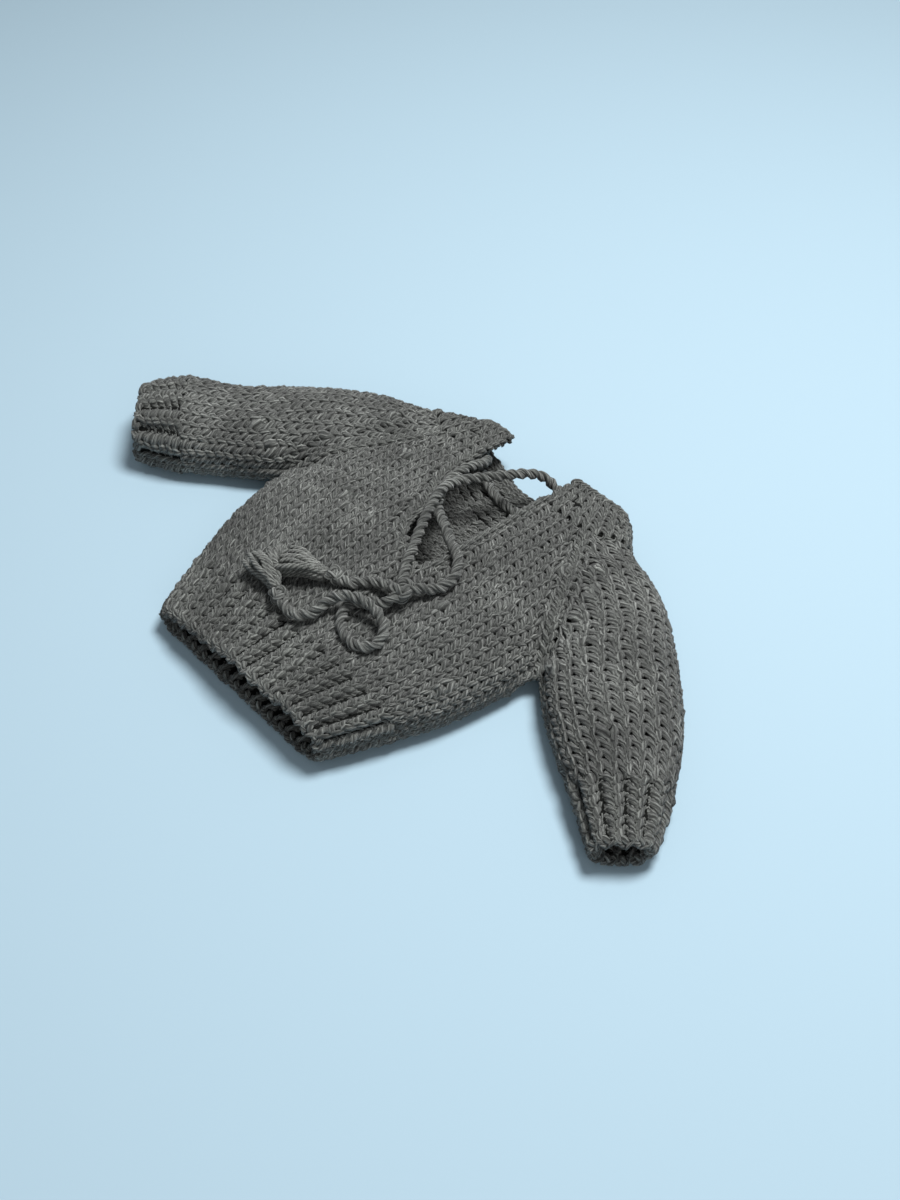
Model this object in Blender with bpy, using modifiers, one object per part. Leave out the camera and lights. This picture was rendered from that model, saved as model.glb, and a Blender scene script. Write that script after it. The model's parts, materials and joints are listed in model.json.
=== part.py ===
"""A small hand-knitted doll's pullover with a drawstring neck, laid flat on its back.

+Y runs from the hem to the neck, +X towards the wearer's left, and +Z up from the surface it lies on.
The plan is drawn in centimetres from the middle of the hem's edge, and the origin is the middle of the
footprint. Each panel is a sheet of fabric, given its thickness inwards, and each seam is a bead that
lies in the gap between the two edges it joins.
"""

import math

import bmesh
import bpy
from mathutils import Vector

CM = 0.01

# driving dimensions, in centimetres
LENGTH = 16.4  # hem edge to the top of the neckband
RIB = 2.6  # depth of the hem rib
BAND_BASE = 14.3  # height of the neckband's lower edge above the hem
BAND_TOP = (4.9, 3.8)  # how far the neckband's top edge reaches to the left and to the right
FABRIC = 0.26  # thickness of the knitted fabric
GAP = 0.04  # clearance between pieces that meet on a flat stretch
TURNED_GAP = 0.2  # clearance where a tapering piece starts, as its wall leans towards its neighbour
SEAM_RADIUS = 0.08
SEAM_HALF = 0.19  # from a seam's line to the edge of each panel
SIDE = 0.8  # height of the side and sleeve seams above the surface
CORNER = 1.3  # how far in from the side the flat back starts
UNDERARM = Vector((7.55, 8.3))
RAGLAN_END = Vector((4.2, BAND_BASE))
BACK_SAG = 1.2  # how far the middle of the back of the neck lies below the shoulders' line
SHOULDER_DEPTH = 2.0  # from the raglan seam to the shoulder fold, at the neckband
CLOSED = 0.3  # share of the raglan seam over which front and back draw together at the underarm
SEAM_CLEAR = 0.35  # how far each bead stops from the underarm point
HALF_WIDTHS = ((0.0, 4.9), (2.2, 5.9), (4.5, 6.8), (8.3, 7.55))
CROWNS = ((0.0, 2.0), (2.6, 2.3), (6.5, 2.8), (10.0, 2.7), (BAND_BASE, 2.1), (LENGTH, 1.9))
RAGLAN_HEIGHT = 2.0  # of the front raglan seams

# sleeve stations run from 0 at the neckband to 1 at the cuff's end
UNDERARM_AT = 0.4
SLEEVE_END_AT = 0.838
CUFF_AT = 0.85
UNDERSIDE = ((0.4, 7.55, 8.3), (0.52, 8.9, 7.15), (0.7, 10.5, 6.15), (0.85, 11.8, 5.55), (1.0, 13.9, 4.5))
FOLD = ((0.2, 8.6, 14.2), (0.4, 10.9, 12.4), (0.62, 13.1, 10.2), (0.85, 14.55, 8.1), (1.0, 15.55, 6.1))
SLEEVE_CROWNS = ((0.0, 1.95), (0.2, 2.3), (0.4, 2.4), (0.62, 2.3), (0.85, 2.0), (1.0, 1.6))

# the slit at the front of the neck: height above the hem, middle, and half width
SLIT = (
    (7.6, 1.5, 0.0),
    (8.2, 1.05, 0.85),
    (9.0, 0.7, 1.2),
    (10.4, 0.45, 1.35),
    (12.0, -0.05, 1.75),
    (13.3, -0.22, 1.87),
    (BAND_BASE, -0.22, 1.87),
)
EYELET_ROW = 2
EYELET_TURNS = (2, 6, 11, 15, 19, 23, 27, 32, 36)  # cells along the neckband that are left open

ALONG = (UNDERARM - RAGLAN_END).normalized()  # down the left raglan seam
ACROSS = Vector((-ALONG.y, ALONG.x))  # square to it, towards the cuff

# the drawstring: plan places and heights along each stretch
CORD_RADIUS = 0.2
TIE_RADIUS = 0.42
END_KNOT_RADIUS = 0.34
TASSEL_RADII = (0.22, 0.34, 0.36, 0.3)
TIE_KNOT = (2.45, 6.1, 3.14)
LEFT_END_KNOT = (0.0, 4.85, 3.0)
RIGHT_END_KNOT = (-0.89, 2.8, 2.7)
LEFT_TASSEL = ((-0.36, 4.7, 2.92), (-2.1, 3.96, 2.86))
RIGHT_TASSEL = ((-1.25, 2.93, 2.7), (-3.03, 3.58, 2.74))
LEFT_RUN = (
    (1.45, 15.75, 1.3),
    (0.95, 15.8, 1.38),
    (0.6, 15.55, 1.75),
    (0.25, 14.9, 2.1),
    (-0.28, 13.9, 2.25),
    (-0.85, 12.8, 2.4),
    (-1.0, 12.0, 2.6),
    (-0.76, 11.0, 2.92),
    (-0.15, 9.8, 3.05),
    (0.77, 8.3, 3.08),
    (1.45, 7.2, 3.06),
    (2.09, 6.44, 3.1),
)
RIGHT_RUN = (
    (-2.8, 15.2, 1.2),
    (-2.25, 15.05, 1.24),
    (-1.75, 14.4, 1.7),
    (-1.6, 13.3, 2.2),
    (-1.45, 12.2, 2.36),
    (-1.0, 11.2, 2.46),
    (-0.35, 10.5, 2.5),
    (0.6, 9.9, 2.85),
    (1.7, 9.25, 3.06),
    (2.6, 8.8, 3.02),
    (3.15, 8.1, 2.97),
    (3.2, 7.3, 2.98),
    (2.71, 6.52, 3.1),
)
LEFT_TAIL = ((1.98, 5.94, 3.1), (1.5, 5.8, 3.02), (1.0, 5.45, 2.95), (0.72, 5.05, 2.92), (0.42, 4.9, 2.98))
RIGHT_TAIL = (
    (2.5, 5.56, 3.1),
    (2.36, 5.28, 2.99),
    (1.85, 4.98, 2.86),
    (1.4, 4.45, 2.78),
    (1.6, 3.8, 2.7),
    (2.2, 3.4, 2.64),
    (2.95, 3.35, 2.58),
    (3.45, 3.8, 2.63),
    (3.3, 4.4, 2.74),
    (2.75, 4.72, 2.95),
    (2.1, 4.68, 3.2),
    (1.4, 4.35, 3.3),
    (0.9, 3.85, 3.05),
    (0.75, 3.2, 2.72),
    (0.35, 2.72, 2.62),
    (-0.15, 2.6, 2.62),
    (-0.48, 2.67, 2.67),
)
BAND_RUN = (
    (-3.2, 15.4, 1.2),
    (-3.7, 15.4, 1.2),
    (-4.15, 15.4, 0.95),
    (-3.8, 15.4, 0.62),
    (-2.8, 15.05, 0.52),
    (-1.5, 14.45, 0.52),
    (0.0, 14.1, 0.52),
    (1.5, 14.45, 0.52),
    (3.0, 15.1, 0.52),
    (4.3, 15.4, 0.62),
    (4.7, 15.4, 0.95),
    (4.2, 15.4, 1.25),
    (3.0, 15.5, 1.3),
    (1.95, 15.7, 1.3),
)

FINISHES = {
    "knit": ((0.115, 0.117, 0.112), 0.92),
    "rib": ((0.105, 0.107, 0.103), 0.94),
    "seam": ((0.085, 0.087, 0.084), 0.95),
    "cord": ((0.150, 0.152, 0.146), 0.88),
}


def mix(a, b, share):
    return a + (b - a) * share


def ease(share):
    """0 to 1 with level ends."""
    share = min(1.0, max(0.0, share))
    return share * share * (3 - 2 * share)


def through(knots, at):
    """A smooth curve through knots (place, value, ...), read at a place: a number, or a vector of the values."""
    places = [knot[0] for knot in knots]
    at = min(max(at, places[0]), places[-1])
    last = len(knots) - 1
    i = max(k for k in range(last) if places[k] <= at)
    span = places[i + 1] - places[i]
    t = (at - places[i]) / span
    found = []
    for values in list(zip(*knots))[1:]:
        ends = []
        for k in (i, i + 1):
            low, high = max(k - 1, 0), min(k + 1, last)
            ends.append((values[high] - values[low]) / (places[high] - places[low]) * span)
        rise = values[i + 1] - values[i]
        curl = ends[0] + ends[1] - 2 * rise
        found.append(values[i] + t * (ends[0] + t * (rise - ends[0] - curl + t * curl)))
    return found[0] if len(found) == 1 else Vector(found)


def spread(count, start=-1.0, end=1.0):
    """Places from start to end, closer together towards both ends."""
    return [mix(start, end, (1 - math.cos(math.pi * k / count)) / 2) for k in range(count + 1)]


def reach(outer, inner, count):
    """Places from an outer edge to an inner one, closer together near the outer edge."""
    return [mix(outer, inner, 1 - math.cos(math.pi / 2 * k / count)) for k in range(count + 1)]


def arch(place, sharp):
    """1 in the middle and 0 at +-1: steep at its ends where sharp is 1, and a plain bow where it is 0."""
    return max(0.0, 1 - abs(place) ** 2.4) ** mix(1.0, 1 / 2.4, sharp)


def corner_height(inset, rise):
    """Height of the back, a given distance in from an edge that is drawn up by rise."""
    share = min(1.0, max(0.0, 1 - inset / CORNER))
    return rise * (1 - math.sqrt(1 - share * share))


def closure(y):
    """1 up to the underarm, falling to 0 up the raglan seams: how far front and back meet at their edges."""
    return 1 - ease((y - UNDERARM.y) / ((BAND_BASE - UNDERARM.y) * CLOSED))


def seam_line(y):
    """Half the body's width at a height above the hem, out to the side seam or the raglan seam."""
    if y <= UNDERARM.y:
        return through(HALF_WIDTHS, y)
    return mix(UNDERARM.x, RAGLAN_END.x, (y - UNDERARM.y) / (BAND_BASE - UNDERARM.y))


def body_edge(y):
    """Half the width of the front and back panels, which stop short of the raglan seam."""
    return seam_line(y) - SEAM_HALF / ACROSS.x * ease(1 + (y - UNDERARM.y) / 1.2)


def front_height(x, y):
    """Height of the outside of the front at a plan place."""
    closed = closure(y)
    edge = mix(RAGLAN_HEIGHT, SIDE + SEAM_HALF, closed)
    return edge + (through(CROWNS, y) - edge) * arch(min(1.0, abs(x) / body_edge(y)), closed)


def back_sag(x, y):
    """How far the back of the neck has slid down from its natural line, at a plan place."""
    return BACK_SAG * ease((y - 9.0) / (BAND_BASE - 9.0)) * max(0.0, 1 - (x / RAGLAN_END.x) ** 2) ** 2


def slit_edges(y):
    """The slit's right and left edges at a height above the hem; they meet at its foot and below."""
    middle, half = through(SLIT, y)
    return middle - half, middle + half


def at(x, y, z):
    """A plan place and height in centimetres as a point of the model, in metres."""
    return Vector((x * CM, (y - LENGTH / 2) * CM, z * CM))


def link(name, data, finish):
    obj = bpy.data.objects.new(name, data)
    parts.objects.link(obj)
    colour, roughness = FINISHES[finish]
    material = bpy.data.materials.new(name)
    material.use_nodes = True
    shader = material.node_tree.nodes["Principled BSDF"]
    shader.inputs["Base Color"].default_value = (*colour, 1.0)
    shader.inputs["Roughness"].default_value = roughness
    shader.inputs["Metallic"].default_value = 0.0
    data.materials.append(material)
    return obj


def sheet(name, grids, finish, openings=()):
    """Fabric laid through grids of points, given its thickness inwards. openings are the cells left out."""
    bm = bmesh.new()
    for rows in grids:
        verts = [[bm.verts.new(point) for point in row] for row in rows]
        for i in range(len(rows) - 1):
            for j in range(len(rows[0]) - 1):
                if (i, j) not in openings:
                    bm.faces.new((verts[i][j], verts[i][j + 1], verts[i + 1][j + 1], verts[i + 1][j]))
    bmesh.ops.remove_doubles(bm, verts=bm.verts, dist=0.00005)
    mesh = bpy.data.meshes.new(name)
    bm.to_mesh(mesh)
    bm.free()
    mesh.shade_smooth()
    solidify = link(name, mesh, finish).modifiers.new("fabric", "SOLIDIFY")
    solidify.thickness = FABRIC * CM
    solidify.offset = -1.0


def tube(name, points, radii, finish, resolution=1):
    """A round bead, cord or bundle along a line of points, with a radius at each point."""
    data = bpy.data.curves.new(name, "CURVE")
    data.dimensions = "3D"
    data.bevel_depth = CM
    data.bevel_resolution = resolution
    data.use_fill_caps = True
    spline = data.splines.new("POLY")
    spline.points.add(len(points) - 1)
    for target, point, radius in zip(spline.points, points, radii):
        target.co = (*point, 1.0)
        target.radius = radius
    link(name, data, finish)


def bead(name, points):
    tube(name, points, [SEAM_RADIUS] * len(points), "seam")


def cord(name, route):
    points = cord_points(route)
    tube(name, points, [CORD_RADIUS] * len(points), "cord", 2)


def knot(name, centre, radius):
    """The room a knot takes: a slightly flattened ball."""
    bm = bmesh.new()
    bmesh.ops.create_uvsphere(bm, u_segments=16, v_segments=10, radius=radius * CM)
    mesh = bpy.data.meshes.new(name)
    bm.to_mesh(mesh)
    bm.free()
    mesh.shade_smooth()
    link(name, mesh, "cord").location = at(*centre)


def tassel(name, ends):
    """The room a tassel takes: a bundle that swells from its knot and draws in a little at its tip."""
    start, end = at(*ends[0]), at(*ends[1])
    count = len(TASSEL_RADII)
    points = [start.lerp(end, k / (count - 1)) for k in range(count)]
    tube(name, points, TASSEL_RADII, "cord", 4)


def mirrored(points):
    return [Vector((-point.x, point.y, point.z)) for point in points]


def handed(rows, side):
    """A left piece's grid with its rows in the order that faces it outwards, or the right piece's grid."""
    return rows[::-1] if side > 0 else [mirrored(row) for row in rows]


def front_grids(low, high, count, across=9):
    """The front between two heights above the hem: a grid each side of the slit, which meet below it."""
    right, left = [], []
    for k in range(count + 1):
        y = mix(low, high, k / count)
        edge = body_edge(y)
        slit = slit_edges(y)
        right.append([at(x, y, front_height(x, y)) for x in reach(-edge, slit[0], across)])
        left.append([at(x, y, front_height(x, y)) for x in reach(edge, slit[1], across)[::-1]])
    return right, left


def back_grid(low, high, count, across=16):
    """The back between two heights above the hem, flat below and drawn up to each side seam."""
    rows = []
    for k in range(count + 1):
        y = mix(low, high, k / count)
        edge = body_edge(y)
        rise = (SIDE - SEAM_HALF) * closure(y)
        rows.append(
            [at(x, y - back_sag(x, y), corner_height(edge - abs(x), rise)) for x in spread(across, edge, -edge)]
        )
    return (rows,)


def underside(t):
    """Plan place of the sleeve's inner edge: down the raglan seam, then along the sleeve seam."""
    line = RAGLAN_END.lerp(UNDERARM, t / UNDERARM_AT) if t <= UNDERARM_AT else through(UNDERSIDE, t)
    return line + ACROSS * SEAM_HALF * ease(1 - (t - UNDERARM_AT) / 0.1)


def fold(t):
    """Plan place of the sleeve's outer fold."""
    start = RAGLAN_END + ACROSS * SHOULDER_DEPTH
    return through(((0.0, start.x, start.y), *FOLD), t)


def sleeve_row(t, over=12, under=10):
    """One turn of the left sleeve: from its front edge over the top, round the fold, and back underneath."""
    inner, outer = underside(t), fold(t)
    width = (outer - inner).length
    closed = closure(mix(BAND_BASE, UNDERARM.y, min(1.0, t / UNDERARM_AT)))
    edge = mix(RAGLAN_HEIGHT, SIDE + SEAM_HALF, closed)
    crown = through(SLEEVE_CROWNS, t)
    row = []
    for s in spread(over):
        low, sharp = (edge, closed) if s < 0 else (SIDE, 1.0)
        plan = inner.lerp(outer, (s + 1) / 2)
        row.append(at(plan.x, plan.y, low + (crown - low) * arch(s, sharp)))
    for share in spread(under, 1.0, 0.0)[1:]:
        plan = inner.lerp(outer, share)
        height = corner_height((1 - share) * width, SIDE)
        height += corner_height(share * width, (SIDE - SEAM_HALF) * closed)
        row.append(at(plan.x, plan.y, height))
    return row


def neckband_row(rise):
    """One turn of the neckband: from the slit's left edge over the left fold, along the back, to the right edge."""
    shoulder = RAGLAN_END + ACROSS * SHOULDER_DEPTH
    flat = RAGLAN_END.x / shoulder.x
    crown = mix(through(CROWNS, BAND_BASE), through(CROWNS, LENGTH), ease(rise))
    halves = [mix(shoulder.x, top, rise) for top in BAND_TOP]

    def half(x):
        return halves[0] if x > 0 else halves[1]

    def band(x, height, sag=0.0):
        lift = max(0.0, abs(x) / half(x) * shoulder.x - RAGLAN_END.x) * ACROSS.y / ACROSS.x
        return at(x, mix(BAND_BASE + TURNED_GAP + lift, LENGTH, rise) - sag, height)

    def over(x):
        past = max(0.0, 2 * (abs(x) / half(x) - flat) / (1 - flat) - 1)
        return band(x, SIDE + (crown - SIDE) * arch(past, 1.0))

    left = [over(x) for x in reach(halves[0], slit_edges(BAND_BASE)[1], 10)[::-1]]
    turn = spread(20, halves[0], -halves[1])
    back = [band(x, corner_height(half(x) - abs(x), SIDE), back_sag(x, LENGTH)) for x in turn]
    right = [over(x) for x in reach(-halves[1], slit_edges(BAND_BASE)[0], 8)]
    return left + back[1:-1] + right


def raglan_points(side, front):
    """The line of a raglan seam's bead, from the neckband down to just short of the underarm."""
    points = []
    length = (UNDERARM - RAGLAN_END).length
    for k in range(13):
        plan = RAGLAN_END + ALONG * mix(0.1, length - SEAM_CLEAR, k / 12)
        closed = closure(plan.y)
        high = mix(RAGLAN_HEIGHT, SIDE + SEAM_HALF, closed) - FABRIC / 2
        low = (SIDE - SEAM_HALF) * closed + FABRIC / 2
        points.append(at(side * plan.x, plan.y, high if front else low))
    return points


def side_seam_points(side):
    points = []
    for k in range(11):
        y = mix(0.15, UNDERARM.y - SEAM_CLEAR, k / 10)
        points.append(at(side * (body_edge(y) - FABRIC / 2), y, SIDE))
    return points


def sleeve_seam_points(side):
    points = []
    for k in range(11):
        t = mix(UNDERARM_AT + 0.04, SLEEVE_END_AT - 0.01, k / 10)
        plan = underside(t)
        inward = (fold(t) - plan).normalized() * FABRIC / 2
        points.append(at(side * (plan.x + inward.x), plan.y + inward.y, SIDE))
    return points


def cord_points(route, step=0.5):
    """A smooth line through a route's places, with a point about every step."""
    knots = [(k, *stop) for k, stop in enumerate(route)]
    count = 40 * (len(route) - 1)
    fine = [through(knots, k / 40) for k in range(count + 1)]
    travelled = [0.0]
    for first, second in zip(fine, fine[1:]):
        travelled.append(travelled[-1] + (second - first).length)
    turns = round(travelled[-1] / step)
    points = []
    for k in range(turns + 1):
        goal = travelled[-1] * k / turns
        nearest = min(range(count + 1), key=lambda n: abs(travelled[n] - goal))
        points.append(at(*fine[nearest]))
    return points


def build_body():
    sheet("front_hem_rib", front_grids(0.0, RIB - GAP, 3), "rib")
    sheet("front_panel", front_grids(RIB, BAND_BASE, 16), "knit")
    sheet("back_hem_rib", back_grid(0.0, RIB - GAP, 3), "rib")
    sheet("back_panel", back_grid(RIB, BAND_BASE, 16), "knit")
    eyelets = [(EYELET_ROW, turn) for turn in EYELET_TURNS]
    sheet("neckband", ([neckband_row(k / 5) for k in range(6)],), "rib", eyelets)


def build_sleeve(name, side):
    stations = [mix(0.0, SLEEVE_END_AT, k / 16) for k in range(17)]
    sheet(name + "_sleeve", (handed([sleeve_row(t) for t in stations], side),), "knit")
    stations = [mix(CUFF_AT, 1.0, k / 4) for k in range(5)]
    sheet(name + "_cuff_rib", (handed([sleeve_row(t) for t in stations], side),), "rib")
    bead(name + "_sleeve_seam", sleeve_seam_points(side))
    bead(name + "_side_seam", side_seam_points(side))
    bead(name + "_front_raglan_seam", raglan_points(side, True))
    bead(name + "_back_raglan_seam", raglan_points(side, False))


def build_drawstring():
    cord("drawstring_band_run", BAND_RUN)
    cord("drawstring_left_run", LEFT_RUN)
    cord("drawstring_right_run", RIGHT_RUN)
    cord("drawstring_left_tail", LEFT_TAIL)
    cord("drawstring_right_tail", RIGHT_TAIL)
    knot("tie_knot", TIE_KNOT, TIE_RADIUS)
    knot("left_end_knot", LEFT_END_KNOT, END_KNOT_RADIUS)
    knot("right_end_knot", RIGHT_END_KNOT, END_KNOT_RADIUS)
    tassel("left_tassel", LEFT_TASSEL)
    tassel("right_tassel", RIGHT_TASSEL)


for old in list(bpy.data.objects):
    bpy.data.objects.remove(old)
parts = bpy.data.collections.new("doll_pullover")
bpy.context.scene.collection.children.link(parts)
build_body()
build_sleeve("left", 1)
build_sleeve("right", -1)
build_drawstring()
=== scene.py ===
"""A hand-knitted doll's pullover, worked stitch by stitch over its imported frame.

The plan is drawn in centimetres, +Y from the middle of the hem's edge to the neck, +X to the wearer's left
and +Z up. Each part of the garment is a smooth surface that is read in stitches across and rows up, and every
stitch is one loop of plied yarn laid on that surface.
"""

import json
import math

import bmesh
import bpy
import numpy as np
from mathutils import Vector
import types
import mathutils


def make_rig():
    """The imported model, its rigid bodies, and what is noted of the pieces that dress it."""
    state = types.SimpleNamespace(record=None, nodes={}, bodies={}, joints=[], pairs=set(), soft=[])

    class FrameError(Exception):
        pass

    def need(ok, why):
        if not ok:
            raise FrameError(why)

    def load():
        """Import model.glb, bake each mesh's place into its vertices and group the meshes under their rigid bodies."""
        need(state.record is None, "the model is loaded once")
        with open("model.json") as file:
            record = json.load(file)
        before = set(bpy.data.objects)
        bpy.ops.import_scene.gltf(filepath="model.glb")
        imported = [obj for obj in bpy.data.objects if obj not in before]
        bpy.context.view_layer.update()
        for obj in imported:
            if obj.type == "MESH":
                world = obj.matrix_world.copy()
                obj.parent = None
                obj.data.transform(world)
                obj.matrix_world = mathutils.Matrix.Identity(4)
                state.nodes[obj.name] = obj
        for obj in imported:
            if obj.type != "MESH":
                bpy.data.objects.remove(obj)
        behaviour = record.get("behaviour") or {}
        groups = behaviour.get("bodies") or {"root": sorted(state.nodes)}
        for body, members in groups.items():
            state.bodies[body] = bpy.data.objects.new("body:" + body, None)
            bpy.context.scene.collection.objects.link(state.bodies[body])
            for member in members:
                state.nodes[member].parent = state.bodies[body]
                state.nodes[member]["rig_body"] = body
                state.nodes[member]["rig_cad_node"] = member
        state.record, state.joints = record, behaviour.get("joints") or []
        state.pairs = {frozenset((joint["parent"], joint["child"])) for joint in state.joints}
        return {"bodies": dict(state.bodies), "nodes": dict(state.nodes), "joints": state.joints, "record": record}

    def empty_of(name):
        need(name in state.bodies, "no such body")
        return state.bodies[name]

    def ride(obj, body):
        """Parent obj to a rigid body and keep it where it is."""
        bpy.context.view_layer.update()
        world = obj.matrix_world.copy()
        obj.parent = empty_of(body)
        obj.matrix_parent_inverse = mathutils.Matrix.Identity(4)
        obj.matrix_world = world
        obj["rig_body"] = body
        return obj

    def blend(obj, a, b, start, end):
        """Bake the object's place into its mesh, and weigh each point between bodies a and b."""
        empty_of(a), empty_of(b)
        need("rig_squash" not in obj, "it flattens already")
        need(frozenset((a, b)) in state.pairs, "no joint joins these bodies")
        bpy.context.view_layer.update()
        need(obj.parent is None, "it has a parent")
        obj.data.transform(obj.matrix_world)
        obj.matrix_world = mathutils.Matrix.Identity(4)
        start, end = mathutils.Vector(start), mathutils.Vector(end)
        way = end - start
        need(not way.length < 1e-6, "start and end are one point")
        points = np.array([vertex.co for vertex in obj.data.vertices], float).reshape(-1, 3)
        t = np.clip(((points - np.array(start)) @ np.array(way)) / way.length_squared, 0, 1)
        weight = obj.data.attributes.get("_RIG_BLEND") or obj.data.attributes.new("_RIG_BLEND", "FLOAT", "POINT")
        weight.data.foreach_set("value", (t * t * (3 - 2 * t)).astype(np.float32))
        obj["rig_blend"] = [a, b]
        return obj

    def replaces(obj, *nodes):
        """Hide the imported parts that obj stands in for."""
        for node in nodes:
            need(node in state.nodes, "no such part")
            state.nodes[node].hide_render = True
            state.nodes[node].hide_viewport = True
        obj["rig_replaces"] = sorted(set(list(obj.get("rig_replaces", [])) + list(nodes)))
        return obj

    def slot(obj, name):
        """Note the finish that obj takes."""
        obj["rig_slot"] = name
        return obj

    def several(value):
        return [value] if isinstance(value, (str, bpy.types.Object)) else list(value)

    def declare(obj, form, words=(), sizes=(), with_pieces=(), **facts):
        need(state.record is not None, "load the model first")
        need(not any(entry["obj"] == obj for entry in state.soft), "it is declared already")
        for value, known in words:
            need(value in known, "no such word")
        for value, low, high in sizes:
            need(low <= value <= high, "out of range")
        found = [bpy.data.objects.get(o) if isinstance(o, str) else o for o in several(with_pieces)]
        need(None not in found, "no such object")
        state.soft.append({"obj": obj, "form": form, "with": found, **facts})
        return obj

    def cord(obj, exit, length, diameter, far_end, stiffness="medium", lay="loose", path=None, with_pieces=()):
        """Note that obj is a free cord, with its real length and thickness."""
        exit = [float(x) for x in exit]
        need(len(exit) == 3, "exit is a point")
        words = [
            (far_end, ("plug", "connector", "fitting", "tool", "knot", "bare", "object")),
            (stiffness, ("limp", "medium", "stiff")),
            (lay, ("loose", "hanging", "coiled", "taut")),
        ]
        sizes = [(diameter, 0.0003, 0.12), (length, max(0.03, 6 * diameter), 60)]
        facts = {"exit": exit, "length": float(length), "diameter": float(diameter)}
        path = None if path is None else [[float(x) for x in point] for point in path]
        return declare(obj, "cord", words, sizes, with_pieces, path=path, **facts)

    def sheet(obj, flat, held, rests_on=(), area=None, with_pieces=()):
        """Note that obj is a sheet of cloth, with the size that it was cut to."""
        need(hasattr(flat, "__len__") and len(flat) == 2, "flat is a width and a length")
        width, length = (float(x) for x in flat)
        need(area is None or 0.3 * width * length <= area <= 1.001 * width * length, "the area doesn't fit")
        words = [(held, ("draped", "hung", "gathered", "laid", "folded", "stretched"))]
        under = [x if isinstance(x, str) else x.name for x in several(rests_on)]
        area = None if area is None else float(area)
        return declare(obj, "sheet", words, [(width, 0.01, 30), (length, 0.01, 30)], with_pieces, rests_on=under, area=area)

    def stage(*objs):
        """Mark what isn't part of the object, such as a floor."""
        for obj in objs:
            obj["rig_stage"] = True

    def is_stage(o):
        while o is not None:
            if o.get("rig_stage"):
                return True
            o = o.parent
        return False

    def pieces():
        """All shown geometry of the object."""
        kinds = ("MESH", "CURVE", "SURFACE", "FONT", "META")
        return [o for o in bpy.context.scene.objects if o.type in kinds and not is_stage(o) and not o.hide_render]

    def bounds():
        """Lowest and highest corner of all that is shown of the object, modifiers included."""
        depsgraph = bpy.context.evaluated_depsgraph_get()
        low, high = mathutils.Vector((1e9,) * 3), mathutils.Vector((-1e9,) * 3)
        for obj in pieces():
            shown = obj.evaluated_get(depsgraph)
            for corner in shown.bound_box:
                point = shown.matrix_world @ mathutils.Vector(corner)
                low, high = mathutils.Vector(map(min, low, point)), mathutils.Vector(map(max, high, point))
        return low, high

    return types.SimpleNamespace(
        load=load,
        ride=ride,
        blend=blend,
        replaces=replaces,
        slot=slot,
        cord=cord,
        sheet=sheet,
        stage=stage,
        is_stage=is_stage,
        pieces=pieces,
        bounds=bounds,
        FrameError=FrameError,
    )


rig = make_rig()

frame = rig.load()
cad_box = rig.bounds()

CM = 0.01
LENGTH = 16.4  # hem edge to the top of the neckband
RIB = 2.6  # depth of the hem rib
BAND_BASE = 14.3  # height of the neckband's lower edge above the hem
BAND_TOP = (4.9, 3.8)  # how far the neckband's top edge reaches to the left and to the right
SIDE = 0.8  # height of the side and sleeve seams above the surface
SEAM_HALF = 0.19  # from a seam's line to the edge of each panel
CORNER = 1.3  # how far in from the side the flat back starts
UNDERARM = np.array((7.55, 8.3))
RAGLAN_END = np.array((4.2, BAND_BASE))
BACK_SAG = 1.2  # how far the middle of the back of the neck lies below the shoulders' line
SHOULDER_DEPTH = 2.0
CLOSED = 0.3
HALF_WIDTHS = ((0.0, 4.9), (2.2, 5.9), (4.5, 6.8), (8.3, 7.55))
CROWNS = ((0.0, 2.0), (2.6, 2.3), (6.5, 2.8), (10.0, 2.7), (BAND_BASE, 2.1), (LENGTH, 1.9))
RAGLAN_HEIGHT = 2.0
UNDERARM_AT = 0.4
CUFF_AT = 0.85
UNDERSIDE = ((0.4, 7.55, 8.3), (0.52, 8.9, 7.15), (0.7, 10.5, 6.15), (0.85, 11.8, 5.55), (1.0, 13.9, 4.5))
FOLD = ((0.2, 8.6, 14.2), (0.4, 10.9, 12.4), (0.62, 13.1, 10.2), (0.85, 14.55, 8.1), (1.0, 15.55, 6.1))
SLEEVE_CROWNS = ((0.0, 1.95), (0.2, 2.3), (0.4, 2.4), (0.62, 2.3), (0.85, 2.0), (1.0, 1.6))
SLIT = (
    (7.6, 1.5, 0.0),
    (8.2, 1.05, 0.85),
    (9.0, 0.7, 1.2),
    (10.4, 0.45, 1.35),
    (12.0, -0.05, 1.75),
    (13.3, -0.22, 1.87),
    (BAND_BASE, -0.22, 1.87),
)
ALONG = (UNDERARM - RAGLAN_END) / np.linalg.norm(UNDERARM - RAGLAN_END)
ACROSS = np.array((-ALONG[1], ALONG[0]))

# the stitch, in centimetres
STITCH = 0.54  # width of a stitch at its natural size
ROW = 0.44  # height of a row at its natural size
YARN = 0.13  # radius of the yarn
GAUGE = (100 / 21, 100 / 28)  # millimetres to a stitch and to a row, for all of the garment: worsted yarn
FLATTEN = 0.86  # the yarn's depth for its width, pressed by its neighbours
LOOP_DEPTH = 0.09  # how far the legs stand in front of the heads
LOOP_WAIST = 0.29  # how strongly a loop narrows at its waist, in stitches
LOOP_REACH = 0.8  # from a loop's middle to its head and to its foot, in rows
LOOP_STEPS = 18
LOOP_TWIST = 2.25  # turns of the yarn's twist in one loop, in whole plies
LOOP_YARN = 1.9  # length of yarn in one loop
PLIES = 4
PRESSED = 0.01  # nothing lies lower than this, where the fabric is pressed flat underneath
SUNK = 0.2  # depth of the loops' middle below the garment's outer surface

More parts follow.
